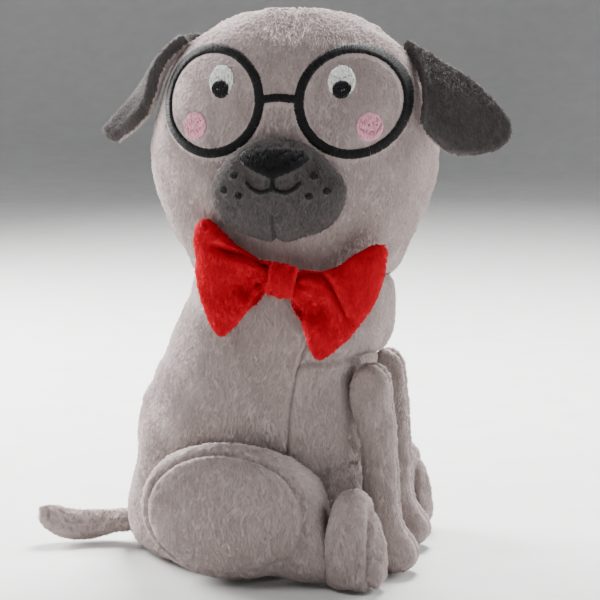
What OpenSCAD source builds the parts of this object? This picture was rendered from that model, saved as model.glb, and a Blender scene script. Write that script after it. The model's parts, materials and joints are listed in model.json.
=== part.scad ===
// Seated plush dog with a bow tie and stitched round glasses, built from sewn panels,
// stuffing and small trim. Millimetres, +Z up. The chest faces -Y, the dog's right is -X,
// and the origin is on the floor below the middle of the body.

/* [Overall] */
// Height of the seated dog
dog_height = 255; // [240:1:270]
// Thickness of the plush fabric with its pile
fabric = 1.5; // [1.2:0.1:1.8]
// Play between pieces that lie against each other
play = 0.4; // [0.3:0.1:0.5]

/* [Body] */
// Width of the body at its widest
body_w = 108; // [104:1:110]
// Depth of the body from belly to back at its widest
body_d = 120; // [117:1:122]
// Height of the body up to the neck seam
body_h = 129; // [127:1:131]

/* [Head] */
// Width of the head across the cheeks
head_w = 132; // [128:1:134]
// Depth of the head from face to back
head_d = 121; // [118:1:123]
// How far the sewn head looks to the dog's right of its body
head_yaw = 82; // [76:1:84]
// Width of the muzzle patch
muzzle_w = 58; // [54:1:60]
// Height of the muzzle patch
muzzle_h = 48; // [44:1:50]
// How far the muzzle stands out from the face
muzzle_out = 17; // [14:1:18]

/* [Face stitching] */
// Outside diameter of one eyeglass ring
lens_d = 49.5; // [47:0.5:51]
// Width of the stitched eyeglass line
lens_line = 4.6; // [4:0.1:5]
// Height of the stitching above the fabric
stitch = 0.8; // [0.5:0.1:1]

/* [Limbs] */
// Height of a front leg
front_leg_h = 97; // [94:1:97]
// Thickness of a front leg
front_leg_w = 19; // [17:1:20]
// Height of an upright hind foot
hind_foot_h = 46; // [42:1:48]
// Length of the thigh, knee to rump
thigh_l = 86; // [82:1:88]
// Height of the thigh
thigh_h = 65; // [62:1:68]
// How far the thigh stands out from the widest part of the body
thigh_out = 21; // [17:1:22]
// Thickness of the tail
tail_w = 15.5; // [14:0.5:17]

/* [Bow tie] */
// Width of the bow over both loops
bow_w = 84; // [78:1:88]
// Height of a loop at its outer end
bow_h = 48; // [42:1:50]
// How far the bow hangs tilted
bow_tilt = 12; // [8:1:14]

/* [Hidden] */

taupe = [0.58, 0.54, 0.53];
charcoal = [0.25, 0.24, 0.24];
black = [0.08, 0.08, 0.09];
thread_white = [0.86, 0.86, 0.84];
blush_pink = [0.88, 0.62, 0.68];
bow_red = [0.75, 0.04, 0.08];
fill_white = [0.95, 0.95, 0.93];
pouch_linen = [0.85, 0.80, 0.70];

left = 1;
right = -1;
neck_y = -7;
neck_r = 40;
neck_ball_z = body_h + 5;
head_base_z = body_h + 8.5;
front_leg_x = 22;
front_leg_y = -50;
hind_foot_x = 52;
hind_foot_y = -48;
thigh_y = 8;
// The angles round the body of the seams where its side panels meet the chest and the belly
flank_right = 210;
flank_left = 330;
spine = 90;
chest_row = 6;

// Rows of the body: centre, height, half width, reach to the back, reach to the front,
// as shares of the body's depth, height, half width and half depth
body_profile = [
  [0.083, 0.002, 0.815, 0.933, 0.733],
  [0.083, 0.023, 0.889, 1.000, 0.783],
  [0.083, 0.078, 0.944, 1.050, 0.817],
  [0.083, 0.171, 0.981, 1.075, 0.850],
  [0.079, 0.349, 1.000, 1.033, 0.850],
  [0.063, 0.558, 0.981, 0.980, 0.817],
  [0.021, 0.755, 0.926, 0.862, 0.760],
  [-0.025, 0.884, 0.889, 0.825, 0.808],
  [-0.058, 1.000, 0.870, 0.792, 0.775]
];
BODY = [for (p = body_profile)
  [p[0] * body_d, p[1] * body_h, p[2] * body_w / 2, p[3] * body_d / 2, p[4] * body_d / 2]];

// Rows of the head in the same form, from the neck opening to the crown
head_profile = [
  [0, 0.000, 0.750, 0.793, 0.777],
  [0, 0.072, 0.803, 0.843, 0.826],
  [0, 0.157, 0.871, 0.909, 0.893],
  [0, 0.277, 0.955, 0.975, 0.959],
  [0, 0.396, 1.000, 1.008, 0.992],
  [0, 0.515, 0.985, 1.008, 0.992],
  [0, 0.634, 0.924, 0.975, 0.959],
  [0, 0.753, 0.848, 0.893, 0.884],
  [0, 0.855, 0.720, 0.760, 0.760],
  [0, 0.932, 0.523, 0.562, 0.562],
  [0, 0.983, 0.288, 0.314, 0.314],
  [0, 1.000, 0.009, 0.010, 0.010]
];
HEAD = [for (p = head_profile)
  [0, head_base_z + p[1] * (dog_height - head_base_z),
   p[2] * head_w / 2, p[3] * head_d / 2, p[4] * head_d / 2]];

// Rows of a front leg: centre forward of the leg, height, half width, reach back and forward
front_leg_profile = [
  [-5, 0.000, 1.05, 0.95, 1.55], [-5.5, 0.030, 1.20, 1.25, 1.95], [-6, 0.100, 1.25, 1.35, 2.10],
  [-5, 0.175, 1.16, 1.25, 1.65], [-3.5, 0.250, 1.00, 1.05, 1.12], [-3, 0.430, 0.97, 1.00, 1.03],
  [-1.5, 0.650, 1.03, 1.02, 1.05], [0, 0.820, 1.05, 1.00, 1.02], [0, 0.920, 0.90, 0.82, 0.86],
  [0, 0.980, 0.48, 0.45, 0.46], [0, 1.000, 0.04, 0.04, 0.04]
];
FRONT_LEG = [for (p = front_leg_profile)
  [front_leg_y + p[0], p[1] * front_leg_h, p[2] * front_leg_w / 2,
   p[3] * front_leg_w / 2, p[4] * front_leg_w / 2]];

// Rows of a hind foot, an upright paddle whose sole faces forward
hind_foot_profile = [
  [0, 0.000, 9.0, 10.0, 11.0], [0, 0.060, 12.0, 13.5, 14.0], [0, 0.250, 14.0, 15.0, 15.5],
  [0.5, 0.480, 14.5, 13.5, 14.0], [1, 0.700, 14.0, 10.5, 12.0], [1, 0.860, 11.5, 8.5, 9.5],
  [1, 0.960, 6.5, 5.0, 5.5], [1, 1.000, 0.4, 0.4, 0.4]
];
HIND_FOOT = [for (p = hind_foot_profile)
  [hind_foot_y + p[0], p[1] * hind_foot_h, p[2], p[3], p[4]]];

// The line of the tail from its root to its tip, with its share of the full thickness
tail_line = [
  [-3, 76.5, 11.5, 0.80], [-6, 84, 10, 0.93], [-10, 92, 9, 1.02], [-14, 99.5, 9.2, 1.04],
  [-17, 106, 11.5, 1.00], [-19, 110.5, 15.5, 0.85], [-20, 112.2, 19, 0.50],
  [-20.3, 112.8, 20.5, 0.05]
];

// A smooth curve through the rows, at a fractional row number
function spline(rows, s) =
  let (n = len(rows) - 1, i = max(0, min(floor(s), n - 1)), t = s - i,
       a = rows[max(i - 1, 0)], b = rows[i], c = rows[i + 1], d = rows[min(i + 2, n)])
  0.5 * (2 * b + (c - a) * t + (2 * a - 5 * b + 4 * c - d) * t * t
         + (3 * b - a - 3 * c + d) * t * t * t);
function mix(a, b, t) = a + (b - a) * t;
function steps(a, b, n) = [for (i = [0 : n]) mix(a, b, i / n)];

// A point on a soft form of rows, sunk below its surface by inset
function form_point(rows, s, angle, inset = 0, x = 0) =
  let (r = spline(rows, s), reach = sin(angle) > 0 ? r[3] : r[4],
       out = [r[2] * cos(angle), reach * sin(angle), 0])
  [x, r[0], r[1]] + out * max(0.02, 1 - inset / max(norm(out), 0.01));
// The same point sunk toward the form's core, for forms that close over at the top
function capped_point(rows, s, angle, inset, x, core_s) =
  let (p = form_point(rows, s, angle, 0, x), r = spline(rows, min(s, core_s)),
       core = [x, r[0], r[1]], d = core - p)
  p + d * inset / max(norm(d), 0.01);

// A closed mesh with its faces turned outward whichever way its rings run
module closed_solid(points, faces) {
  volume = [for (f = faces) 1] * [for (f = faces) cross(points[f[0]], points[f[1]]) * points[f[2]]];
  polyhedron(points, volume > 0 ? [for (f = faces) [f[2], f[1], f[0]]] : faces);
}

// A closed solid from rings of equal length, each end drawn together at its own middle
module solid_of_rings(rings) {
  n = len(rings[0]);
  m = len(rings);
  points = [each [for (r = rings) each r],
            [for (p = rings[0]) 1 / n] * rings[0], [for (p = rings[m - 1]) 1 / n] * rings[m - 1]];
  sides = [for (i = [0 : m - 2], j = [0 : n - 1])
    let (k = (j + 1) % n) each [
      [i * n + j, i * n + k, (i + 1) * n + k], [i * n + j, (i + 1) * n + k, (i + 1) * n + j]]];
  ends = [for (j = [0 : n - 1]) let (k = (j + 1) % n) each [
    [m * n, k, j], [m * n + 1, (m - 1) * n + j, (m - 1) * n + k]]];
  closed_solid(points, concat(sides, ends));
}

// A closed ring-shaped solid, whose last ring joins its first
module solid_of_loop(rings) {
  n = len(rings[0]);
  m = len(rings);
  points = [for (r = rings) each r];
  faces = [for (i = [0 : m - 1], j = [0 : n - 1])
    let (k = (j + 1) % n, h = (i + 1) % m) each [
      [i * n + j, i * n + k, h * n + k], [i * n + j, h * n + k, h * n + j]]];
  closed_solid(points, faces);
}

// A sewn panel: an outer and an inner grid of points with its four edges closed
module panel(outer, inner) {
  m = len(outer);
  n = len(outer[0]);
  k = m * n;
  points = concat([for (r = outer) each r], [for (r = inner) each r]);
  top = [for (i = [0 : m - 2], j = [0 : n - 2]) let (q = i * n + j) each [
    [q, q + 1, q + n + 1], [q, q + n + 1, q + n]]];
  under = [for (f = top) [f[0] + k, f[2] + k, f[1] + k]];
  rim = concat([for (j = [0 : n - 1]) j], [for (i = [1 : m - 1]) i * n + n - 1],
               [for (j = [n - 2 : -1 : 0]) (m - 1) * n + j], [for (i = [m - 2 : -1 : 1]) i * n]);
  edge = [for (i = [0 : len(rim) - 1]) let (a = rim[i], b = rim[(i + 1) % len(rim)]) each [
    [b, a, a + k], [b, a + k, b + k]]];
  closed_solid(points, concat(top, under, edge));
}

// A panel of a form of rows, from row s0 to s1 and from angle a0 to a1
module form_panel(rows, s0, s1, ns, a0, a1, na, x = 0, depth = 0) {
  grid = function (inset) [for (s = steps(s0, s1, ns))
    [for (a = steps(a0, a1, na)) form_point(rows, s, a, inset, x)]];
  panel(grid(depth), grid(depth + fabric));
}
// The same for a form that closes over at the top
module capped_panel(rows, s0, s1, ns, a0, a1, na, x, core_s) {
  grid = function (inset) [for (s = steps(s0, s1, ns))
    [for (a = steps(a0, a1, na)) capped_point(rows, s, a, inset, x, core_s)]];
  panel(grid(0), grid(fabric));
}

module at_head() {
  translate([0, neck_y, 0]) rotate([0, 0, -head_yaw]) children();
}

// ---- Body ----

function around(n) = [for (i = [0 : n - 1]) 360 * i / n];
body_gap = 0.5;

module base_panel() {
  outline = [for (a = around(60)) let (p = form_point(BODY, 0, a, fabric + play)) [p[0], p[1]]];
  color(taupe) linear_extrude(fabric) polygon(outline);
}
module side_panel_left() {
  color(taupe) form_panel(BODY, 0, 8, 14, flank_left - 360 + body_gap, spine - body_gap / 2, 11);
}
module side_panel_right() {
  color(taupe) form_panel(BODY, 0, 8, 14, spine + body_gap / 2, flank_right - body_gap, 11);
}
module chest_panel() {
  color(taupe) form_panel(BODY, chest_row + 0.02, 8, 4, flank_right + body_gap, flank_left - body_gap, 9);
}
module belly_panel() {
  color(taupe) form_panel(BODY, 0, chest_row - 0.02, 10, flank_right + body_gap, flank_left - body_gap, 9);
}
pouch_z = 24;
pouch_y = 14;
module body_stuffing() {
  inset = fabric + 2 * play;
  outer = [for (s = steps(0.85, 7.9, 13))
    [for (a = around(28)) form_point(BODY, s, a, inset)]];
  color(fill_white) solid_of_rings(outer_with_pouch_hollow(outer));
}
// The hollow for the pellet pouch opens at the bottom of the stuffing
function pouch_ring(r, z) = [for (a = around(28)) [r * cos(a), pouch_y + r * sin(a), z]];
function outer_with_pouch_hollow(outer) = concat(
  [pouch_ring(10, pouch_z + 1), pouch_ring(34, pouch_z + 1), pouch_ring(35, pouch_z - 1),
   pouch_ring(35, outer[0][0][2])], outer);
module pellet_pouch() {
  color(pouch_linen) translate([0, pouch_y, fabric + play]) rotate_extrude($fn = 48)
    polygon([[0, 0], [31, 0], [33.5, 3], [34, 9], [33, 15], [30, 19], [0, 20.5]]);
}

// ---- Thighs ----

body_by_height = [for (s = steps(0, 8, 32)) let (r = spline(BODY, s)) r];
body_cy = [for (r = body_by_height) [r[1], r[0]]];
body_rx = [for (r = body_by_height) [r[1], r[2]]];
body_back = [for (r = body_by_height) [r[1], r[3]]];
body_front = [for (r = body_by_height) [r[1], r[4]]];
// Half the width of the body at a place along it and a height
function body_side(y, z) =
  let (dy = y - lookup(z, body_cy), ry = lookup(z, dy > 0 ? body_back : body_front))
  lookup(z, body_rx) * sqrt(max(0, 1 - pow(dy / ry, 2)));
knee_inside = 33;
function thigh_in(y, z) = max(knee_inside, body_side(y, z) + play + 0.5);
thigh_rim = body_w / 2 + 0.8;
function thigh_dome(r) = pow(max(0, 1 - pow(r, 2.4)), 0.55);
// A ring of the thigh at share r of its outline: depth 0 is the outer face, 1 the inner one
function thigh_ring(side, r, inset, inner = false) =
  [for (a = around(28))
    let (y = thigh_y - side * r * thigh_l / 2 * cos(a), z = thigh_h / 2 + 0.6 + r * thigh_h / 2 * sin(a))
    [side * (inner ? thigh_in(y, z) + inset : thigh_rim + thigh_out * thigh_dome(r) - inset), y, z]];
gusset_from = 0.86;
module thigh_panel(side) {
  color(taupe) solid_of_rings(concat(
    [for (r = [0.12, 0.32, 0.52, 0.7, gusset_from]) thigh_ring(side, r, 0)],
    [for (r = [gusset_from, 0.7, 0.52, 0.32, 0.12]) thigh_ring(side, r, fabric)]));
}
module thigh_gusset(side) {
  g = gusset_from + 0.01;
  color(taupe) solid_of_loop([
    thigh_ring(side, g, 0), thigh_ring(side, 0.95, 0), thigh_ring(side, 1, 0),
    thigh_ring(side, 1, 0.1, true), thigh_ring(side, 0.975, 0.1, true),
    thigh_ring(side, 0.95, fabric), thigh_ring(side, g, fabric)]);
}
module thigh_stuffing(side) {
  color(fill_white) solid_of_rings(concat(
    [for (r = [0.12, 0.35, 0.6, 0.8, 0.93]) thigh_ring(side, r, fabric + 2 * play)],
    [for (r = [0.93, 0.7, 0.4, 0.12]) thigh_ring(side, r, 0.1, true)]));
}
module thigh_panel_left() { thigh_panel(left); }
module thigh_panel_right() { thigh_panel(right); }
module thigh_gusset_left() { thigh_gusset(left); }
module thigh_gusset_right() { thigh_gusset(right); }
module thigh_stuffing_left() { thigh_stuffing(left); }
module thigh_stuffing_right() { thigh_stuffing(right); }

// ---- Neck ----

// The fill of the neck: flat below, where the head turns, and round above, where it nods
module neck_stuffing() {
  low = body_h + play + 0.2;
  start = asin((low - neck_ball_z) / neck_r);
  color(fill_white) translate([0, neck_y, 0]) rotate_extrude($fn = 64)
    polygon(concat([[0, low]], [for (a = steps(start, 90, 16))
      [neck_r * cos(a), neck_ball_z + neck_r * sin(a)]]));
}

// ---- Head ----

head_top_row = len(HEAD) - 1;
head_core = 6;
module face_panel() {
  color(taupe) at_head()
    capped_panel(HEAD, 0, head_top_row, 17, 180 + body_gap, 360 - body_gap, 18, 0, head_core);
}
module head_back_left() {
  color(taupe) at_head()
    capped_panel(HEAD, 0, head_top_row, 15, body_gap, 90 - body_gap, 8, 0, head_core);
}
module head_back_right() {
  color(taupe) at_head()
    capped_panel(HEAD, 0, head_top_row, 15, 90 + body_gap, 180 - body_gap, 8, 0, head_core);
}
module head_stuffing() {
  inset = fabric + play;
  hollow = neck_r + play + 0.9;
  cup = [for (e = [80, 60, 42, 26, 12])
    [for (a = around(30)) [hollow * cos(e) * cos(a), hollow * cos(e) * sin(a), neck_ball_z + hollow * sin(e)]]];
  outer = [for (s = steps(0.5, head_top_row - 0.05, 15))
    [for (a = around(30)) capped_point(HEAD, s, a, inset, 0, head_core)]];
  color(fill_white) at_head() solid_of_rings(concat(cup, outer));
}

head_rows = [for (s = steps(0, head_top_row, 44)) spline(HEAD, s)];
head_rx = [for (r = head_rows) [r[1], r[2]]];
head_front = [for (r = head_rows) [r[1], r[4]]];
// The face's surface at a place across it and a height, as its distance in front of the axis
function face_out(x, z) =
  lookup(z, head_front) * sqrt(max(0, 1 - pow(x / lookup(z, head_rx), 2)));
function on_face(x, z, off) = [x, -face_out(x, z) - off, z];

muzzle_z = 176;
function muzzle_dome(r) = pow(max(0, 1 - pow(r, 2.3)), 0.6);
// Half the muzzle's width narrows toward its top
function muzzle_spot(r, a) =
  [r * muzzle_w / 2 * cos(a) * (1 - 0.14 * sin(a) - 0.08 * pow(sin(a), 2)),
   muzzle_z + r * muzzle_h / 2 * sin(a)];
function muzzle_ring(r, inset, inner = false) =
  [for (a = around(30)) let (p = muzzle_spot(r, a))
    on_face(p[0], p[1], inner ? play + inset : play + fabric + 0.4 + muzzle_out * muzzle_dome(r) - inset)];
module muzzle_panel() {
  color(charcoal) at_head() solid_of_rings(concat(
    [for (r = [0.12, 0.32, 0.54, 0.74, 0.9, 1]) muzzle_ring(r, 0)],
    [for (r = [1, 0.9, 0.74, 0.54, 0.32, 0.12]) muzzle_ring(r, fabric)]));
}
module muzzle_stuffing() {
  color(fill_white) at_head() solid_of_rings(concat(
    [for (r = [0.12, 0.35, 0.6, 0.82, 0.93]) muzzle_ring(r, fabric + 2 * play)],
    [for (r = [0.93, 0.7, 0.4, 0.12]) muzzle_ring(r, 0, true)]));
}

// ---- Face stitching ----

lens_x = 31;
lens_z = 213.5;
eye_x = 26;
eye_z = 222;
function muzzle_share(x, z) =
  let (v = (z - muzzle_z) / (muzzle_h / 2), w = muzzle_w / 2 * (1 - 0.14 * v - 0.08 * v * v))
  sqrt(pow(x / w, 2) + v * v);
function on_muzzle(x, z, off) =
  on_face(x, z, play + fabric + 0.4 + muzzle_out * muzzle_dome(min(1, muzzle_share(x, z))) + off);

low_off = 0.5;
high_off = low_off + stitch;
// A flat spot of stitching on the face or the muzzle, from an outline in shares of its size
module spot(place, x, z, half_w, half_h, n = 20) {
  ring = function (r, off) [for (a = around(n)) place(x + r * half_w * cos(a), z + r * half_h * sin(a), off)];
  solid_of_rings([ring(0.35, high_off), ring(0.7, high_off), ring(1, high_off),
                  ring(1, low_off), ring(0.7, low_off), ring(0.35, low_off)]);
}
// A line of stitching along a list of spots
module stitch_line(place, spots, width) {
  grid = function (off) [for (i = [0 : len(spots) - 1])
    let (a = spots[max(i - 1, 0)], b = spots[min(i + 1, len(spots) - 1)],
         d = (b - a) / norm(b - a), n = [-d[1], d[0]] * width / 2)
    [for (k = [-1, 1]) place(spots[i][0] + k * n[0], spots[i][1] + k * n[1], off)]];
  panel(grid(high_off), grid(low_off));
}
module glasses_stitching() {
  color(black) at_head() {
    for (side = [right, left]) {
      ring = function (r, off) [for (a = around(36))
        on_face(side * lens_x + r * cos(a), lens_z + r * sin(a), off)];
      outer = lens_d / 2;
      inner = lens_d / 2 - lens_line;
      solid_of_loop([ring(inner, high_off), ring(outer, high_off), ring(outer, low_off), ring(inner, low_off)]);
    }
    gap = lens_x - lens_d / 2 + 0.6;
    stitch_line(function (x, z, off) on_face(x, z, off),
      [for (t = steps(-1, 1, 4)) [t * gap, lens_z + 1.6 - t * t]], lens_line);
  }
}
module eye_whites() {
  color(thread_white) at_head() for (side = [right, left])
    spot(function (x, z, off) on_face(x, z, off), side * eye_x, eye_z, 5.6, 7);
}
module pupils() {
  color(black) at_head() for (side = [right, left])
    spot(function (x, z, off) on_face(x, z, off + stitch + 0.1), side * eye_x, eye_z - 3.5, 3.4, 3.4);
}
module cheek_blush() {
  color(blush_pink) at_head() for (side = [right, left])
    spot(function (x, z, off) on_face(x, z, off), side * 38, lens_z - 11, 5.4, 6.4);
}
nose_z = 190;
module nose_stitching() {
  outline = [for (a = around(24))
    [14.5 * cos(a) * (1 + 0.22 * sin(a)), nose_z + 6.6 * sin(a) - 1.5 * pow(sin(a), 2)]];
  ring = function (r, off) [for (p = outline) on_muzzle(p[0] * r, nose_z + (p[1] - nose_z) * r, off)];
  color(black) at_head() solid_of_rings([ring(0.3, high_off), ring(0.7, high_off), ring(1, high_off),
    ring(1, low_off), ring(0.7, low_off), ring(0.3, low_off)]);
}
module mouth_stitching() {
  place = function (x, z, off) on_muzzle(x, z, off);
  color(black) at_head() {
    stitch_line(place, [[0, nose_z - 8.6], [0, nose_z - 10.5], [0, nose_z - 12.2]], 1.4);
    for (side = [right, left])
      stitch_line(place, [for (t = steps(0, 1, 5))
        [side * (0.9 + 10.6 * t), nose_z - 12.6 - 2.6 * sin(150 * t) + 3.4 * t * t]], 1.4);
  }
}
dots = [[17, 3], [22, -3.5], [15, -5.5]];
module whisker_dots() {
  place = function (x, z, off) on_muzzle(x, z, off);
  color(black) at_head() for (side = [right, left], d = dots)
    spot(place, side * d[0], nose_z - 10 + d[1], 1.3, 1.3, 10);
}

// ---- Ears ----

// Each ear is a flap from its root on the head to its rounded tip. Its net of points is
// three lines from root to tip: the upper edge, the middle and the lower edge
ear_net_left = [
  [[50, -1, 238.5], [64, -5, 230], [80, -7, 220.5], [92.5, -9, 210]],
  [[59.5, -17, 222], [72, -19, 213], [85.5, -19, 204.5], [97.5, -17, 198]],
  [[60, -29.5, 204], [66, -30, 196], [75, -28, 190], [86, -24, 187]]
];
ear_net_right = [
  [[-46.5, 17, 240.5], [-60.5, 19, 233.5], [-71.5, 18, 219], [-84, 14, 202]],
  [[-51, 2, 239.5], [-62, 3, 230.5], [-71.5, 2, 214], [-88, 0, 196.5]],
  [[-48, -14, 239.5], [-59.5, -17, 228], [-65.5, -17, 209], [-78, -13, 193]]
];
ear_thick = 2.6;
// A point of the flap: u runs from root to tip, v across it
function ear_point(net, u, v) =
  let (lines = [for (line = net) spline(line, u * 3)], p = spline(lines, v * 2),
       round_tip = pow(max(0, u - 0.55) / 0.45, 2) * 0.42)
  mix(p, spline(lines, 1), round_tip);
function ear_normal(net, u, v) =
  let (e = 0.02, du = ear_point(net, min(u + e, 1), v) - ear_point(net, max(u - e, 0), v),
       dv = ear_point(net, u, min(v + e, 1)) - ear_point(net, u, max(v - e, 0)),
       n = cross(du, dv)) n / norm(n);
module ear_layer(net, from, to) {
  grid = function (off) [for (u = steps(0, 1, 7)) [for (v = steps(0, 1, 7))
    ear_point(net, u, v) + ear_normal(net, u, v) * off]];
  panel(grid(to), grid(from));
}
module ear_front_left() { color(charcoal) at_head() ear_layer(ear_net_left, -ear_thick, -0.1); }
module ear_lining_left() { color(taupe) at_head() ear_layer(ear_net_left, 0.1, ear_thick); }
module ear_front_right() { color(charcoal) at_head() ear_layer(ear_net_right, 0.1, ear_thick); }
module ear_lining_right() { color(taupe) at_head() ear_layer(ear_net_right, -ear_thick, -0.1); }

// ---- Bow tie ----

bow_x = 2;
bow_y = -61;
bow_z = 137.5;
knot_w = 15;
bow_wrap = 150;
// Corners of a loop from the knot round its outline, as shares of half the bow's width
loop_outline = [[0.17, 0.14], [0.50, 0.23], [0.86, 0.42], [0.99, 0.28], [0.98, -0.05], [0.80, -0.46],
                [0.54, -0.76], [0.34, -0.56], [0.17, -0.20]];
loop_middle = [0.60, -0.10];
function round_trip(list, s) = let (n = len(list), i = floor(s), t = s - i,
  a = list[(i + n - 1) % n], b = list[i % n], c = list[(i + 1) % n], d = list[(i + 2) % n])
  0.5 * (2 * b + (c - a) * t + (2 * a - 5 * b + 4 * c - d) * t * t
         + (3 * b - a - 3 * c + d) * t * t * t);
loop_puff = 7;
loop_back = 0.5;
// A ring of a loop at share r of its outline, its front at +1 and its back at -1
function loop_ring(side, r, face) = [for (i = [0 : 26])
  let (p = mix(loop_middle, round_trip(loop_outline, i / 3), r) * bow_w / 2,
       puff = loop_puff * pow(max(0, 1 - pow(r, 3)), 0.5) + 0.6)
  [side * p[0], pow(p[0], 2) / bow_wrap - (face > 0 ? puff : -puff * loop_back), p[1]]];
module bow_loop(side) {
  shares = [0.15, 0.4, 0.62, 0.8, 0.93, 1];
  at_bow() color(bow_red) solid_of_rings(concat([for (r = shares) loop_ring(side, r, 1)],
    [for (i = [len(shares) - 1 : -1 : 0]) loop_ring(side, shares[i], -1)]));
}
module at_bow() {
  at_head() translate([bow_x, bow_y, bow_z]) rotate([0, bow_tilt, 0]) children();
}
module bow_loop_left() { bow_loop(left); }
module bow_loop_right() { bow_loop(right); }
module bow_knot() {
  at_bow() color(bow_red) solid_of_rings([for (t = [-0.96, -0.8, -0.4, 0, 0.4, 0.8, 0.96])
    [for (a = around(20)) [(knot_w / 2 - 1.4) * t, -3 + 6.5 * cos(a) * sqrt(1.25 - t * t * 0.7), 7.5 * sin(a)]]]);
}

// ---- Legs, feet and tail ----

leg_top = len(FRONT_LEG) - 1;
module front_leg_half(side, from) {
  color(taupe) capped_panel(FRONT_LEG, 0, leg_top, 13, from + 2, from + 178, 7, side * front_leg_x, 8);
}
module front_leg_stuffing(side) {
  color(fill_white) solid_of_rings([for (s = steps(0.5, leg_top - 0.05, 12))
    [for (a = around(14)) capped_point(FRONT_LEG, s, a, fabric + 2 * play, side * front_leg_x, 8)]]);
}
module front_leg_outer_left() { front_leg_half(left, -90); }
module front_leg_inner_left() { front_leg_half(left, 90); }
module front_leg_stuffing_left() { front_leg_stuffing(left); }
module front_leg_outer_right() { front_leg_half(right, 90); }
module front_leg_inner_right() { front_leg_half(right, -90); }
module front_leg_stuffing_right() { front_leg_stuffing(right); }

foot_top = len(HIND_FOOT) - 1;
module hind_foot_half(side, from) {
  color(taupe) capped_panel(HIND_FOOT, 0, foot_top, 9, from + 2, from + 178, 8, side * hind_foot_x, 4);
}
module hind_foot_stuffing(side) {
  color(fill_white) solid_of_rings([for (s = steps(0.5, foot_top - 0.05, 8))
    [for (a = around(16)) capped_point(HIND_FOOT, s, a, fabric + play, side * hind_foot_x, 4)]]);
}
module hind_foot_upper_left() { hind_foot_half(left, 0); }
module hind_foot_sole_left() { hind_foot_half(left, 180); }
module hind_foot_stuffing_left() { hind_foot_stuffing(left); }
module hind_foot_upper_right() { hind_foot_half(right, 0); }
module hind_foot_sole_right() { hind_foot_half(right, 180); }
module hind_foot_stuffing_right() { hind_foot_stuffing(right); }

tail_end = len(tail_line) - 1;
// A ring of points round the tail: angle 90 is its top
function tail_point(s, angle, inset) =
  let (q = spline(tail_line, s), e = 0.05,
       d = spline(tail_line, min(s + e, tail_end)) - spline(tail_line, max(s - e, 0)),
       along = [d[0], d[1], d[2]] / norm([d[0], d[1], d[2]]),
       side = cross(along, [0, 0, 1]) / norm(cross(along, [0, 0, 1])), up = cross(side, along),
       r = max(q[3] * tail_w / 2 - inset, 0.1))
  [q[0], q[1], q[2]] + r * cos(angle) * side + r * sin(angle) * up;
module tail_half(from) {
  grid = function (inset) [for (s = steps(0, tail_end, 12))
    [for (a = steps(from + 3, from + 177, 7)) tail_point(s, a, inset)]];
  color(taupe) panel(grid(0), grid(fabric));
}
module tail_top() { tail_half(0); }
module tail_underside() { tail_half(180); }
module tail_stuffing() {
  color(fill_white) solid_of_rings([for (s = steps(0.2, tail_end - 0.6, 10))
    [for (a = around(14)) tail_point(s, a, fabric + play)]]);
}

base_panel();
side_panel_left();
side_panel_right();
chest_panel();
belly_panel();
body_stuffing();
pellet_pouch();
thigh_panel_left();
thigh_panel_right();
thigh_gusset_left();
thigh_gusset_right();
thigh_stuffing_left();
thigh_stuffing_right();
neck_stuffing();
face_panel();
head_back_left();
head_back_right();
head_stuffing();
muzzle_panel();
muzzle_stuffing();
glasses_stitching();
eye_whites();
pupils();
cheek_blush();
nose_stitching();
mouth_stitching();
whisker_dots();
ear_front_left();
ear_lining_left();
ear_front_right();
ear_lining_right();
bow_loop_left();
bow_loop_right();
bow_knot();
front_leg_outer_left();
front_leg_inner_left();
front_leg_stuffing_left();
front_leg_outer_right();
front_leg_inner_right();
front_leg_stuffing_right();
hind_foot_upper_left();
hind_foot_sole_left();
hind_foot_stuffing_left();
hind_foot_upper_right();
hind_foot_sole_right();
hind_foot_stuffing_right();
tail_top();
tail_underside();
tail_stuffing();
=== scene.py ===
import json
import math

import bpy
import numpy as np
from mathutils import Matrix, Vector, noise
from mathutils.bvhtree import BVHTree


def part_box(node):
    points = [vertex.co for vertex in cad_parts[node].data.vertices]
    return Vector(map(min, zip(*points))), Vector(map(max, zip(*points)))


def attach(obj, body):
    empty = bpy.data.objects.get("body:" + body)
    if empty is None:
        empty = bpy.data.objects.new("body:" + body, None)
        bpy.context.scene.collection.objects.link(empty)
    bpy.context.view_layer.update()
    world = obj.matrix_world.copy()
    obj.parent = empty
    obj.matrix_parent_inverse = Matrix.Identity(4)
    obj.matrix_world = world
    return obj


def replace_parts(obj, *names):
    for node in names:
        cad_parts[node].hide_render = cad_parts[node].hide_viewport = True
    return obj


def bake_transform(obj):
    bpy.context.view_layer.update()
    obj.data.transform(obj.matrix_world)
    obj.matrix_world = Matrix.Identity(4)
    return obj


# A seated plush dog with a bow tie and stitched glasses. Every shape is worked out in millimetres from
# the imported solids. Fabric skins are shrunk on to them and swollen between their seams, seams and
# creases are pressed in, and a short pile of tufts is set along each skin's nap.

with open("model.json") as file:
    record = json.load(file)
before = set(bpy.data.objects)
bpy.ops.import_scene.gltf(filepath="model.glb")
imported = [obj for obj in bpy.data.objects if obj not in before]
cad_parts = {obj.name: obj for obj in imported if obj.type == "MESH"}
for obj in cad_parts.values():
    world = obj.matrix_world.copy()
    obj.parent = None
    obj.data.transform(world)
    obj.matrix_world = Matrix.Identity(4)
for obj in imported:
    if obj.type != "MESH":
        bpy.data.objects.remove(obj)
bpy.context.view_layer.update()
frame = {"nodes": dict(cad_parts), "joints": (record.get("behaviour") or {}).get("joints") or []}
NODES = frame["nodes"]
MM = 0.001

JOINTS = {j["name"]: j for j in frame["joints"]}
HEAD_PIVOT = np.array(JOINTS["head_turn"]["pos_m"]) / MM
HEAD_YAW = math.radians(82)

# How far a skin lies under the surface that its pile reaches, and the least heights over the floor.
PILE_DEPTH = 0.9
SKIN_CLEARANCE = 0.5
TUFT_CLEARANCE = 0.05


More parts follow.
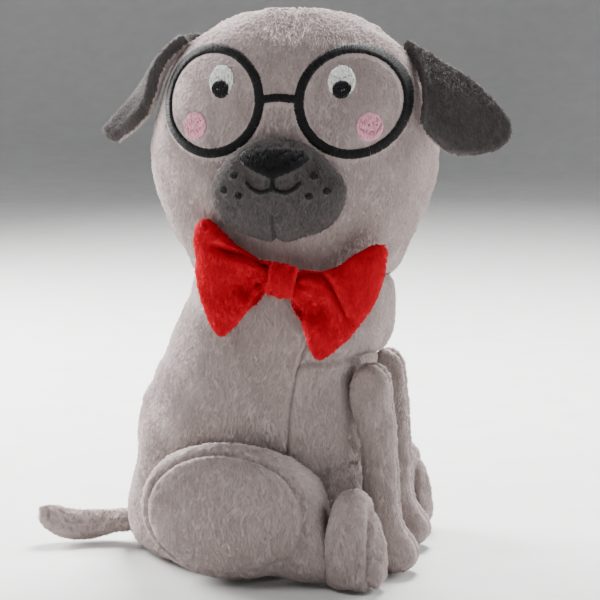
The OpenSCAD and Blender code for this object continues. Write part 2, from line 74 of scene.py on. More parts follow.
# ---- Numbers and vectors ----

def unit(v):
    return v / np.maximum(np.linalg.norm(v, axis=-1, keepdims=True), 1e-9)


def box(*names):
    """Lowest and highest corners of some nodes, in millimetres."""
    lows, highs = zip(*(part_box(name) for name in names))
    return np.min(lows, 0) / MM, np.max(highs, 0) / MM


def middle(*names):
    low, high = box(*names)
    return (low + high) / 2


def to_head(points):
    """Row frame to the head's own frame, whose face looks along -Y."""
    c, s = math.cos(HEAD_YAW), math.sin(HEAD_YAW)
    x, y = points[:, 0], points[:, 1] - HEAD_PIVOT[1]
    return np.stack([x * c - y * s, x * s + y * c, points[:, 2]], 1)


def from_head(points):
    """The head's own frame to the row frame."""
    c, s = math.cos(HEAD_YAW), math.sin(HEAD_YAW)
    x, y = points[:, 0], points[:, 1]
    return np.stack([x * c + y * s, HEAD_PIVOT[1] - x * s + y * c, points[:, 2]], 1)


def head_direction(x, y, z):
    return (from_head(np.array([[x, y, z]])) - from_head(np.zeros((1, 3))))[0]


FORWARD = head_direction(0, -1, 0)


def ripple(points, size, seed=0.0):
    """Smooth noise from about -1 to 1 at some points, with waves of the given size."""
    shift = Vector((seed, 2.3 * seed, 5.1 * seed))
    return np.array([noise.noise(Vector(p) / size + shift) for p in points])


def smooth(low, high, value):
    """A soft step from 0 at low to 1 at high."""
    t = np.clip((value - low) / (high - low), 0, 1)
    return t * t * (3 - 2 * t)


def bell(value, width, at=0.0):
    """A soft hump: 1 where value is at, fading over width on both sides."""
    return np.exp(-((value - at) / width) ** 2)


# ---- Surfaces ----

def read_mesh(mesh):
    points = np.zeros(len(mesh.vertices) * 3)
    mesh.vertices.foreach_get("co", points)
    return points.reshape(-1, 3) / MM, [list(p.vertices) for p in mesh.polygons]


def joined(shapes):
    """Several shapes' points and faces as one."""
    points = np.concatenate([shape[0] for shape in shapes])
    starts = np.cumsum([0] + [len(shape[0]) for shape in shapes])
    return points, [[i + start for i in f] for start, shape in zip(starts, shapes) for f in shape[1]]


def tree_from(points, faces):
    return BVHTree.FromPolygons([tuple(p) for p in points], faces)


def tree_of(names, *extra):
    """One search tree of several nodes and any extra shapes, in millimetres."""
    return tree_from(*joined([read_mesh(NODES[name].data) for name in names] + list(extra)))


def nearest(tree, points):
    return np.array([tree.find_nearest(Vector(p))[3] for p in points])


def inside(solid, points, depth=0.3):
    """Which points are more than depth inside a closed surface, given as its tree and its corners."""
    tree, low, high = solid
    found = np.all((points > low) & (points < high), axis=1)
    for i in np.flatnonzero(found):
        spot, normal, _, _ = tree.find_nearest(Vector(points[i]))
        found[i] = (Vector(points[i]) - spot).dot(normal) < -depth
    return found


def solid_of(points, faces):
    return tree_from(points, faces), points.min(0), points.max(0)


def edges_of(faces):
    return np.array(sorted({tuple(sorted(e)) for f in faces for e in zip(f, f[1:] + f[:1])}))


# A point this much deeper than its neighbours' average is in a gap, and how often gaps are filled.
GAP = 0.9
GAP_ROUNDS = 6


def shrunk(tree, targets, ways, faces, reach):
    """Points shrunk along rays on to the outside of a tree, bridging the gaps between its panels."""
    far = np.zeros(len(ways))
    for i, (target, way) in enumerate(zip(targets, ways)):
        hit = tree.ray_cast(Vector(target + way * reach), Vector(-way), reach)
        far[i] = reach - hit[3] if hit[0] is not None else 0
    edges = edges_of(faces)
    count = np.bincount(edges.ravel(), minlength=len(far))
    for _ in range(GAP_ROUNDS):
        total = np.bincount(edges[:, 0], far[edges[:, 1]], len(far))
        total += np.bincount(edges[:, 1], far[edges[:, 0]], len(far))
        dip = total / count - far > GAP
        far[dip] = (total / count)[dip]
    return targets + ways * far[:, None]


def relax(points, faces, times, share=0.5):
    """Laplacian smoothing."""
    edges = edges_of(faces)
    count = np.bincount(edges.ravel(), minlength=len(points))[:, None]
    for _ in range(times):
        total = np.zeros_like(points)
        np.add.at(total, edges[:, 0], points[edges[:, 1]])
        np.add.at(total, edges[:, 1], points[edges[:, 0]])
        points = points + share * (total / count - points)
    return points


def triangles_of(faces):
    return np.array([t for f in faces for t in zip([f[0]] * (len(f) - 2), f[1:-1], f[2:])])


def normals_of(points, faces):
    triangles = triangles_of(faces)
    a, b, c = (points[triangles[:, k]] for k in range(3))
    flat = np.cross(b - a, c - a)
    total = np.zeros_like(points)
    for k in range(3):
        np.add.at(total, triangles[:, k], flat)
    return unit(total)


def ball_skin(centre, names, cells, reach=120.0, extra=()):
    """A skin shrunk on to nodes from all round a centre. It is a rounded cube, with cells faces along
    each edge."""
    index, points, faces = {}, [], []

    def corner(x, y, z):
        key = (x, y, z)
        if key not in index:
            index[key] = len(points)
            points.append([math.tan(k / cells * math.pi / 4) for k in key])
        return index[key]

    span = range(-cells, cells, 2)
    for axis in range(3):
        for side in (-cells, cells):
            for u in span:
                for v in span:
                    ring = [(u, v), (u + 2, v), (u + 2, v + 2), (u, v + 2)]
                    if side < 0:
                        ring.reverse()
                    keys = [np.roll([side, a, b], axis) for a, b in ring]
                    faces.append([corner(*map(int, key)) for key in keys])
    ways = unit(np.array(points))
    targets = np.repeat([np.array(centre, float)], len(ways), 0)
    return shrunk(tree_of(names, *extra), targets, ways, faces, reach), faces


def tube_skin(line, names, step, sides, reach, up=(1.0, 0.0, 0.0)):
    """A skin shrunk on to nodes from round a line, with a round cap at each end."""
    line = np.array(line, float)
    lengths = np.concatenate([[0], np.cumsum(np.linalg.norm(np.diff(line, axis=0), axis=1))])
    rings = max(3, round(lengths[-1] / step))
    along = np.linspace(0, lengths[-1], rings + 1)
    spots = np.stack([np.interp(along, lengths, line[:, k]) for k in range(3)], 1)
    tangents = unit(np.gradient(spots, axis=0))
    caps = [75, 50, 25]
    rows = [(spots[0], tangents[0], -math.radians(a)) for a in caps]
    rows += [(s, t, 0.0) for s, t in zip(spots, tangents)]
    rows += [(spots[-1], tangents[-1], math.radians(a)) for a in reversed(caps)]
    targets, ways = [spots[0]], [-tangents[0]]
    for spot, tangent, tilt in rows:
        side = unit(np.cross(tangent, up))
        front = np.cross(side, tangent)
        for k in range(sides):
            a = 2 * math.pi * k / sides
            flat = side * math.cos(a) + front * math.sin(a)
            targets.append(spot)
            ways.append(flat * math.cos(tilt) + tangent * math.sin(tilt))
    targets.append(spots[-1])
    ways.append(tangents[-1])
    last = len(ways) - 1
    faces = []
    for k in range(sides):
        after = (k + 1) % sides
        faces.append([0, 1 + k, 1 + after])
        for r in range(len(rows) - 1):
            low, high = 1 + r * sides, 1 + (r + 1) * sides
            faces.append([low + after, low + k, high + k, high + after])
        top = 1 + (len(rows) - 1) * sides
        faces.append([top + after, top + k, last])
    targets, ways = np.array(targets), np.array(ways)
    return shrunk(tree_of(names), targets, ways, faces, reach), faces


def collar(rings):
    """A closed band through rings of points from the lowest to the highest."""
    sides = len(rings[0])
    points = np.concatenate(rings + [[rings[0].mean(0)], [rings[-1].mean(0)]])
    faces = []
    for k in range(sides):
        after = (k + 1) % sides
        for r in range(len(rings) - 1):
            low, high = r * sides, (r + 1) * sides
            faces.append([low + k, low + after, high + after, high + k])
        top = (len(rings) - 1) * sides
        faces += [[k, len(points) - 2, after], [top + k, top + after, len(points) - 1]]
    return points, faces


def outline(names, height, sides=64):
    """The outside of some nodes round the neck at one height."""
    tree, ring = tree_of(names), []
    for k in range(sides):
        way = Vector((math.cos(2 * math.pi * k / sides), math.sin(2 * math.pi * k / sides), 0))
        start = Vector((HEAD_PIVOT[0], HEAD_PIVOT[1], height)) + way * 90
        ring.append(tree.ray_cast(start, -way)[0])
    return np.array(ring)


def applied(points, faces, modify):
    """Points and faces after modifiers that modify() adds to a scratch object."""
    mesh = bpy.data.meshes.new("scratch")
    mesh.from_pydata([tuple(p) for p in points * MM], [], faces)
    scratch = bpy.data.objects.new("scratch", mesh)
    bpy.context.scene.collection.objects.link(scratch)
    modify(scratch)
    graph = bpy.context.evaluated_depsgraph_get()
    result = read_mesh(bpy.data.meshes.new_from_object(scratch.evaluated_get(graph)))
    bpy.data.objects.remove(scratch)
    return result


def subdivided(points, faces, levels):
    def modify(scratch):
        scratch.modifiers.new("fine", "SUBSURF").levels = levels
    return applied(points, faces, modify)


def cut_skin(names, cell, rounds):
    """A skin over the joined nodes, as one even grid of the given cell size, smoothed some rounds."""
    points, faces = joined([read_mesh(NODES[name].data) for name in names])

    def modify(scratch):
        remesh = scratch.modifiers.new("even", "REMESH")
        remesh.mode = "VOXEL"
        remesh.voxel_size = cell * MM

    points, faces = applied(points, faces, modify)
    return relax(points, faces, rounds), faces


def seam_distance(points, names):
    """How far each point is from the seam between the panel it is on and the next one."""
    reach = np.sort([nearest(tree_of([name]), points) for name in names], axis=0)
    return reach[1] - reach[0]


PRESSURE = 4
SLACK = 0.035
BENDING = 0.3
CLOTH_STEPS = 20


def swollen(points, faces, held, cap):
    """A cloth simulation: pressure swells slack fabric between its held seams, by at most cap."""
    start = points - normals_of(points, faces) * (0.3 * cap * (1 - held))[:, None]
    mesh = bpy.data.meshes.new("swelling")
    mesh.from_pydata([tuple(p) for p in start * MM], [], faces)
    cloth_piece = bpy.data.objects.new("swelling", mesh)
    bpy.context.scene.collection.objects.link(cloth_piece)
    group = cloth_piece.vertex_groups.new(name="held")
    for i, weight in enumerate(held):
        group.add([i], float(weight), "REPLACE")
    cloth = cloth_piece.modifiers.new("cloth", "CLOTH")
    cloth.settings.vertex_group_mass = "held"
    cloth.settings.use_pressure = True
    cloth.settings.uniform_pressure_force = PRESSURE
    cloth.settings.shrink_min = -SLACK
    cloth.settings.bending_stiffness = BENDING
    cloth.settings.effector_weights.gravity = 0
    for step in range(1, CLOTH_STEPS + 1):
        bpy.context.scene.frame_set(step)
    graph = bpy.context.evaluated_depsgraph_get()
    moved = read_mesh(cloth_piece.evaluated_get(graph).data)[0] - start
    bpy.context.scene.frame_set(1)
    bpy.data.objects.remove(cloth_piece)
    far = np.linalg.norm(moved, axis=1, keepdims=True)
    return start + moved * np.minimum(1, cap / np.maximum(far, 1e-6))


def pressed(points, faces, away, depth=1.0, width=1.5, lump=0.5, seed=1.0, sink=PILE_DEPTH):
    """Presses seams, puckers beside them and the stuffing's soft lumps into a skin."""
    normals = normals_of(points, faces)
    groove = -depth * bell(away, width)
    pucker = 0.45 * ripple(points, 3.2, seed) * bell(away, 3.5, 2.5)
    crown = 0.35 * bell(away, 4.0, 6)
    lumps = lump * ripple(points, 22, seed + 3) + 0.3 * lump * ripple(points, 8, seed + 7)
    return points + normals * (groove + pucker + crown + lumps - sink)[:, None]


# ---- Materials ----

def rgb(r, g, b):
    """A linear colour from a display colour of 0 to 255."""
    def linear(c):
        c /= 255
        return c / 12.92 if c <= 0.04045 else ((c + 0.055) / 1.055) ** 2.4
    return (linear(r), linear(g), linear(b), 1)


def tinted(colour, share):
    return tuple(min(1.0, c * share) for c in colour[:3]) + (1,)


def material(name, roughness=0.9, sheen=0.0, sheen_colour=(1, 1, 1, 1), specular=0.2):
    mat = bpy.data.materials.new(name)
    mat.use_nodes = True
    shader = mat.node_tree.nodes["Principled BSDF"]
    shader.inputs["Roughness"].default_value = roughness
    shader.inputs["Specular IOR Level"].default_value = specular
    shader.inputs["Sheen Weight"].default_value = sheen
    shader.inputs["Sheen Roughness"].default_value = 0.45
    shader.inputs["Sheen Tint"].default_value = sheen_colour
    return mat, shader


def add(mat, kind, links=(), **values):
    """A node with some inputs set, and links from other nodes' outputs."""
    node = mat.node_tree.nodes.new(kind)
    for name, value in values.items():
        socket = name.replace("_", " ")
        if socket in node.inputs:
            node.inputs[socket].default_value = value
        else:
            setattr(node, name, value)
    for socket, output in links:
        mat.node_tree.links.new(output, node.inputs[socket])
    return node


def grain(mat, scale, stretch, detail=4.0):
    """Noise in the piece's own space, drawn out along one direction."""
    place = add(mat, "ShaderNodeTexCoord")
    turn = add(mat, "ShaderNodeMapping", [("Vector", place.outputs["Object"])], Scale=stretch)
    return add(mat, "ShaderNodeTexNoise", [("Vector", turn.outputs["Vector"])],
               Scale=scale, Detail=detail, Roughness=0.6)


def shade(mat, shader, fac, low, high, at=(0.35, 0.65)):
    ramp = add(mat, "ShaderNodeValToRGB", [("Fac", fac)])
    for stop, colour, place in zip(ramp.color_ramp.elements, (low, high), at):
        stop.color, stop.position = colour, place
    mat.node_tree.links.new(ramp.outputs["Color"], shader.inputs["Base Color"])


def emboss(mat, shader, height, strength, distance):
    bump = add(mat, "ShaderNodeBump", [("Height", height)], Strength=strength, Distance=distance * MM)
    mat.node_tree.links.new(bump.outputs["Normal"], shader.inputs["Normal"])


def backing(name, colour):
    """The knit ground that shows between the tufts."""
    mat, shader = material(name, 0.95, 0.25, tinted(colour, 1.6))
    hair = grain(mat, 420, (1, 1, 0.35))
    shade(mat, shader, hair.outputs["Fac"], tinted(colour, 0.78), tinted(colour, 1.04))
    emboss(mat, shader, hair.outputs["Fac"], 0.8, 0.8)
    return mat


# How much lighter or darker than the fabric's colour each of the pile's tones is.
TONES = (-0.17, -0.08, 0.0, 0.07, 0.16)


def pile_tones(name, colour, sheen, contrast=1.0):
    """The pile's fibres in a few tones, each with fine lengthwise roughness."""
    tones = []
    for k, share in enumerate(1 + contrast * np.array(TONES)):
        mat, shader = material(f"{name}_{k + 1}", 0.8, sheen, tinted(colour, 1.9), 0.15)
        shader.inputs["Base Color"].default_value = tinted(colour, share)
        hair = grain(mat, 900, (1, 1, 0.3), 2.0)
        emboss(mat, shader, hair.outputs["Fac"], 0.35, 0.3)
        tones.append(mat)
    return tones


def weave(name, colour):
    """Plain-woven cloth: two fine waves across each other."""
    mat, shader = material(name, 0.9)
    place = add(mat, "ShaderNodeTexCoord")
    waves = [add(mat, "ShaderNodeTexWave", [("Vector", place.outputs["Object"])],
                 bands_direction=way, Scale=400.0, Distortion=1.0) for way in ("X", "Y")]
    cross = add(mat, "ShaderNodeMath", [(0, waves[0].outputs["Fac"])], operation="MAXIMUM")
    mat.node_tree.links.new(waves[1].outputs["Fac"], cross.inputs[1])
    shade(mat, shader, cross.outputs["Value"], tinted(colour, 0.7), tinted(colour, 1.05))
    emboss(mat, shader, cross.outputs["Value"], 0.6, 0.3)
    return mat


def satin(name, colour, gloss=0.45):
    """Embroidery thread: twisted, a little glossy."""
    mat, shader = material(name, gloss, 0.05, tinted(colour, 2.0), 0.22)
    twist = grain(mat, 1500, (1, 1, 0.6), 3.0)
    shade(mat, shader, twist.outputs["Fac"], tinted(colour, 0.75), tinted(colour, 1.2))
    emboss(mat, shader, twist.outputs["Fac"], 0.5, 0.15)
    return mat


TAUPE = rgb(166, 152, 149)
CHARCOAL = rgb(76, 72, 71)
RED = rgb(178, 2, 26)
BLACK = rgb(17, 16, 19)
LENS_WHITE = rgb(232, 232, 226)
PINK = rgb(222, 160, 178)
POUCH = rgb(214, 202, 176)
FLOOR_LOW, FLOOR_HIGH = rgb(222, 221, 219), rgb(228, 227, 225)

GROUND = {
    "taupe_minky": backing("taupe_ground", TAUPE),
    "charcoal_plush": backing("charcoal_ground", CHARCOAL),
    "red_minky": backing("red_ground", RED),
}
PILE = {
    "taupe_minky": pile_tones("taupe_pile", TAUPE, 0.35, 1.3),
    "charcoal_plush": pile_tones("charcoal_pile", CHARCOAL, 0.35, 3.0),
    "red_minky": pile_tones("red_pile", RED, 0.2),
}
THREAD = {
    "black_thread": satin("black_thread", BLACK, 0.62),
    "white_thread": satin("white_thread", LENS_WHITE, 0.6),
    "pink_thread": satin("pink_thread", PINK, 0.6),
}


# ---- Pieces ----

def piece(name, points, faces, materials, tones=None, normals=None):
    """An object in the row frame from points in millimetres."""
    mesh = bpy.data.meshes.new(name)
    mesh.from_pydata([tuple(p) for p in np.asarray(points) * MM], [], faces)
    mesh.validate()
    for mat in materials:
        mesh.materials.append(mat)
    mesh.polygons.foreach_set("use_smooth", [True] * len(mesh.polygons))
    if tones is not None:
        mesh.polygons.foreach_set("material_index", [int(t) for t in tones])
    if normals is not None:
        mesh.normals_split_custom_set_from_vertices([tuple(n) for n in normals])
    mesh.update()
    made = bpy.data.objects.new(name, mesh)
    bpy.context.scene.collection.objects.link(made)
    return made


def brushed(points, normals, seed):
    """The nap at each point: down along the skin, swirled as a hand leaves it."""
    way = np.broadcast_to(np.array([0.0, 0.0, -1.0]), points.shape)
    turn = 0.7 * ripple(points, 16, seed) + 0.35 * ripple(points, 5, seed + 2)
    flat = unit(way - normals * np.sum(way * normals, 1, keepdims=True) + 1e-4)
    cross = np.cross(normals, flat)
    return flat * np.cos(turn)[:, None] + cross * np.sin(turn)[:, None]


# Tufts to the square millimetre and to a piece, and their sizes in millimetres.
TUFT_DENSITY = 1.8
MOST_TUFTS = 48000
SEAM_CLEARANCE = 0.35
TUFT_ROOT = 0.35
TUFT_SPREAD = 0.16


def rides_on(body_name):
    return lambda made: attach(made, body_name)


def scattered(rng, points, triangles, density):
    """Random spots, so many to the square millimetre: the corners round each one and their shares."""
    a, b, c = (points[triangles[:, k]] for k in range(3))
    areas = np.linalg.norm(np.cross(b - a, c - a), axis=1) / 2
    count = int(areas.sum() * density)
    pick = np.searchsorted(np.cumsum(areas), rng.rand(count) * areas.sum())
    pick = np.minimum(pick, len(triangles) - 1)
    s, t = rng.rand(2, count)
    over = s + t > 1
    s[over], t[over] = 1 - s[over], 1 - t[over]
    return triangles[pick], np.stack([1 - s - t, s, t], 1)[:, :, None]


def spikes_at(rng, roots, up, nap, length):
    """Closed spikes of four corners that lean along the nap, and the soft normals of their corners."""
    count = len(roots)
    nap = unit(nap + TUFT_SPREAD * rng.randn(count, 3))
    side = unit(np.cross(up, nap))
    lean = np.radians(rng.uniform(12, 30, count))[:, None]
    reach = (length * rng.uniform(0.75, 1.2, count))[:, None]
    tip = roots + (nap * np.cos(lean) + up * np.sin(lean)) * reach
    half = (0.25 * rng.uniform(0.8, 1.2, count))[:, None]
    spikes = np.stack([roots - side * half - up * TUFT_ROOT, roots + side * half - up * TUFT_ROOT,
                       roots + up * TUFT_ROOT - nap * 0.2, tip], 1)
    spikes[:, :, 2] = np.maximum(spikes[:, :, 2], TUFT_CLEARANCE)
    soft = unit(up + nap * 0.25 + TUFT_SPREAD * rng.randn(count, 3))
    tilt = np.stack([-side * 0.35, side * 0.35, up * 0.1, nap * 0.3], 1)
    return spikes, unit(soft[:, None] + tilt)


def tufts(name, moves, points, faces, slot, length=1.6, seed=1, keep=lambda points: True, away=None):
    """Short leaning tufts all over a skin, in pieces of at most MOST_TUFTS, with painted shade
    darkening them beside its seams.
    """
    rng = np.random.RandomState(seed)
    normals = normals_of(points, faces)
    corners, share = scattered(rng, points, triangles_of(faces), TUFT_DENSITY)
    roots = (points[corners] * share).sum(1)
    up = unit((normals[corners] * share).sum(1))
    away = (away[corners] * share[:, :, 0]).sum(1) if away is not None else np.full(len(roots), 99.0)
    kept = (away > SEAM_CLEARANCE) & keep(roots)
    roots, up, away = roots[kept], up[kept], away[kept]
    nap = brushed(roots, up, seed + 0.5)
    spikes, shading = spikes_at(rng, roots, up, nap, length)
    tone = 2.1 + 0.8 * rng.randn(len(roots)) + 0.9 * ripple(roots, 9, seed + 4)
    # Painted shade: tufts close to a seam (on the bow, in its folds and hollows) are set up to two
    # tones darker.
    tone = tone - 2.4 * bell(away, 1.3)
    tone = np.clip(np.rint(tone), 0, len(TONES) - 1).astype(int)
    sides = np.array([[0, 3, 2], [2, 3, 1], [1, 3, 0], [0, 2, 1]])
    parts = np.array_split(np.arange(len(roots)), 1 + len(roots) // MOST_TUFTS)
    for number, part in enumerate(parts):
        base = np.arange(len(part))[:, None, None] * 4
        made = piece(f"{name}_{number + 1}", spikes[part].reshape(-1, 3),
                     (base + sides).reshape(-1, 3).tolist(), PILE[slot],
                     np.repeat(tone[part], 4), shading[part].reshape(-1, 3))
        moves(made)


# ---- Stuffed pieces ----

HEAD_PANELS = ["face_panel", "head_back_left", "head_back_right"]
BODY_PANELS = ["side_panel_left", "side_panel_right", "chest_panel", "belly_panel", "base_panel"]
MUZZLE = ["muzzle_panel", "muzzle_stuffing"]
TAIL = ["tail_top", "tail_underside"]


def limb(name, panels, stuffing, shape, slot="taupe_minky", depth=1.6, seed=1.0, lump=0.35,
         seam=None, cap=1.4):
    """A stuffed skin over panels: smoothed, swollen, refined and pressed along its seams."""
    points, faces = shape
    seam = seam or (lambda spots: seam_distance(spots, panels))
    points = relax(points, faces, 1)
    points = swollen(points, faces, 1 - smooth(1.5, 6.0, seam(points)), cap)
    points, faces = subdivided(points, faces, 2)
    away = seam(points)
    points = pressed(points, faces, away, depth, 1.3, lump, seed)
    points[:, 2] = np.maximum(points[:, 2], SKIN_CLEARANCE)
    made = piece(name + "_skin", points, faces, [GROUND[slot]])
    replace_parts(made, *panels, *stuffing)
    return points, faces, made, away


# ---- Neck ----

# The body's panels stop short of the head's. Two collars carry the skins on to meet in a crease.
COLLAR_LAP = 3
CREASE_LAP = 0.6
CREASE_TUCK = 2.2
NECK_RADIUS = 48

head_base, head_top = box(*HEAD_PANELS)[0][2], box(*HEAD_PANELS)[1][2]
body_top = box(*BODY_PANELS)[1][2]
neck_z = (head_base + body_top) / 2
below = outline(BODY_PANELS, body_top - COLLAR_LAP)
above = outline(HEAD_PANELS, head_base + COLLAR_LAP)


def neck_ring(share, height, tuck):
    """A ring between the body's top edge and the head's bottom edge, pulled in by about tuck."""
    ring = below * (1 - share) + above * share
    axis = np.array([HEAD_PIVOT[0], HEAD_PIVOT[1], height])
    ring[:, 2] = height
    return axis + (ring - axis) * (1 - tuck / NECK_RADIUS)


lower_collar = collar([below, neck_ring(0.3, body_top, 0.3),
                       neck_ring(0.5, neck_z + CREASE_LAP, CREASE_TUCK)])
upper_collar = collar([neck_ring(0.5, neck_z - CREASE_LAP, CREASE_TUCK),
                       neck_ring(0.7, head_base, 0.3), above])


# ---- Head and muzzle ----

CROWN_DART = 10
CHIN_DART_TOP = -11
MUZZLE_WIDENING = 1.07
muzzle_middle = to_head(middle("muzzle_stuffing")[None])[0]


def head_seams(points):
    """How far points are from the panel seams and the short dart at the top of the forehead."""
    local = to_head(points)
    dart = np.hypot(local[:, 0] - 1.5, np.maximum(0, head_top - CROWN_DART - local[:, 2]))
    return np.minimum(seam_distance(points, HEAD_PANELS), dart + 20 * (local[:, 1] > 3))


def chin_dart(points):
    """How far points are from the short dart under the mouth."""
    local = to_head(points) - muzzle_middle
    return np.hypot(local[:, 0], np.maximum(0, local[:, 2] - CHIN_DART_TOP)) + 6 * (local[:, 1] > 8)


def muzzle_skin():
    points, faces = ball_skin(middle("muzzle_stuffing"), MUZZLE, 12, 60)
    local = to_head(points) - muzzle_middle
    local[:, 0] *= MUZZLE_WIDENING
    return from_head(local + muzzle_middle), faces


head = limb("head", HEAD_PANELS, ["head_stuffing"],
            ball_skin(middle(*HEAD_PANELS), HEAD_PANELS + ["head_stuffing"], 20,
                      extra=[upper_collar]), seed=1.0, seam=head_seams)
muzzle = limb("muzzle", MUZZLE[:1], MUZZLE[1:], muzzle_skin(), "charcoal_plush", 1.9, 2.0,
              seam=chin_dart)


# ---- Body, legs, feet and tail ----

BODY_MIDDLE = (0, -8, 62)
CHEST_HEIGHT = 106
CHEST_PUSH = 5
SOLE = 6.5
LEG_FLARE = 5
FAR_LEG_SHIFT = 3
TAIL_ROOT = 9


def body_skin():
    """The body up to the neck's crease, with its chest pushed forward under the bow."""
    points, faces = ball_skin(BODY_MIDDLE, BODY_PANELS + ["body_stuffing"], 24, extra=[lower_collar])
    chest = smooth(10, 40, -points[:, 1]) * bell(points[:, 2], 13, CHEST_HEIGHT)
    points[:, 1] -= CHEST_PUSH * chest
    return points, faces


def ovoid(centre, radii):
    """An egg of rings, for a stretch of fabric that no panel covers."""
    turns = np.linspace(0, 2 * math.pi, 24, endpoint=False)
    rings = [np.stack([np.cos(turns) * math.cos(t), np.sin(turns) * math.cos(t),
                       np.full(24, math.sin(t))], 1) * radii + centre
             for t in np.linspace(-1.4, 1.4, 9)]
    return collar(rings)


def thigh(side):
    """A thigh, whose fabric reaches forward to the hind foot as an ankle."""
    panels = [f"thigh_panel_{side}", f"thigh_gusset_{side}"]
    stuffing = "thigh_stuffing_" + side
    low, high = box(f"hind_foot_upper_{side}", f"hind_foot_sole_{side}")
    ankle = ovoid(((low[0] + high[0]) / 2, high[1] + 5, 12.5), (12, 17, 12))
    skin = ball_skin(middle(*panels), panels + [stuffing], 16, 90, extra=[ankle])
    return limb("thigh_" + side, panels, [stuffing], skin, seed=4.0)


def hind_foot(side):
    """A hind foot, with its seam round the edge of the sole."""
    panels = [f"hind_foot_upper_{side}", f"hind_foot_sole_{side}"]
    stuffing = "hind_foot_stuffing_" + side
    edge = box(*panels)[0][1] + SOLE
    skin = ball_skin(middle(*panels), panels + [stuffing], 10, 60)
    return limb("hind_foot_" + side, panels, [stuffing], skin, seed=5.0,
                seam=lambda points: np.abs(points[:, 1] - edge))


def front_leg(side):
    """A front leg, whose top is squared and flares back towards the body."""
    panels = [f"front_leg_outer_{side}", f"front_leg_inner_{side}"]
    stuffing = "front_leg_stuffing_" + side
    low, high = box(*panels)
    x = (low[0] + high[0]) / 2
    line = [(x, high[1] - 10, high[2] - 9), (x, high[1] - 11, 30), (x, high[1] - 15, 9)]
    points, faces = tube_skin(line, panels + [stuffing], 4, 16, 40)
    root = smooth(high[2] - 40, high[2] - 6, points[:, 2])
    rise = np.clip((points[:, 2] - high[2] + 12) / 12, 0, 0.995)
    square = (1 - rise ** 6) ** (1 / 6) / np.sqrt(1 - rise ** 2)
    points[:, 0] = x + (points[:, 0] - x) * np.minimum(square, 3) * (1 + 0.05 * root)
    points[:, 1] += LEG_FLARE * root * smooth(high[1] - 16, high[1], points[:, 1])
    points[:, 1] += FAR_LEG_SHIFT if side == "left" else 0
    return limb("front_leg_" + side, panels, [stuffing], (points, faces), seed=6.0, cap=0.8, depth=0.9)


def tail():
    """The tail, whose root is drawn out into the body."""
    low, high = box(*TAIL)
    line = [(-3, low[1] + 7, 12), (-10, 92, 9), (-17, 106, 10.5), (low[0] + 7, high[1] - 6, 15)]
    points, faces = tube_skin(line, TAIL + ["tail_stuffing"], 3.5, 14, 25)
    points[:, 1] -= TAIL_ROOT * (1 - smooth(low[1], low[1] + 12, points[:, 1]))
    return limb("tail", TAIL, ["tail_stuffing"], (points, faces), depth=0.7, seed=7.0)


body = limb("body", BODY_PANELS, ["body_stuffing", "neck_stuffing"], body_skin(), depth=2.3,
            seed=3.0, lump=0.7, cap=1.3)
limbs = {}
for side in ("left", "right"):
    limbs["thigh_" + side] = thigh(side)
    limbs["hind_foot_" + side] = hind_foot(side)
    limbs["front_leg_" + side] = front_leg(side)
limbs["tail"] = tail()


# ---- Ears ----

def ear(side, seed):
    """Two layers sewn round the edge: charcoal outside, taupe inside."""
    layers = ["ear_front_" + side, "ear_lining_" + side]
    points, faces = cut_skin(layers, 0.9, 4)
    normals = normals_of(points, faces)
    points = points + normals * (0.5 + 0.5 * ripple(points, 14, seed))[:, None]
    outer, lining = (nearest(tree_of([name]), points) for name in layers)
    shown = np.array([(lining[f] + 1.0 < outer[f]).mean() > 0.5 for f in faces])
    made = piece(f"ear_{side}_skin", points, faces,
                 [GROUND["charcoal_plush"], GROUND["taupe_minky"]], shown)
    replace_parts(made, *layers)
    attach(made, "ear_" + side)
    return points, faces, shown


# ---- Bow tie ----

BOW_TILT = math.radians(12)
knot_middle = to_head(middle("bow_knot")[None])[0]


def bow_frame(points, sign):
    """How far points are outward and upward from the knot's middle, along the tilted bow."""
    local = to_head(points) - knot_middle
    c, s = math.cos(BOW_TILT), math.sin(BOW_TILT)
    across, up = local[:, 0] * c - local[:, 2] * s, local[:, 0] * s + local[:, 2] * c
    return across * sign, up


def fold_height(out, sign):
    """The line of the loop's long fold, up from the knot's middle."""
    if sign > 0:
        return 1 + 8 * np.sin(np.clip(out / 30, 0, 1) * math.pi) - 0.012 * out ** 2
    return 2 + 4.5 * np.sin(np.clip(out / 18, 0, 1) * math.pi / 2)


def bow_piece(name, points, faces):
    """A red skin that stands for one of the bow's nodes."""
    made = piece(name + "_skin", points, faces, [GROUND["red_minky"]])
    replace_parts(made, name)
    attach(made, "bow_tie")


# Where each loop's hollow lies, outward and upward from the knot's middle, and how deep things are.
HOLLOWS = {"left": (15.5, -9.5), "right": (13.0, -7.0)}
HOLLOW_DEPTH = 8.5
FOLD_DEPTH = 5.0
ROLL_HEIGHT = 2.4
GATHER_DEPTH = 2.2
ROOT_STRETCH = 3.5
CORNER_LIFT = 6


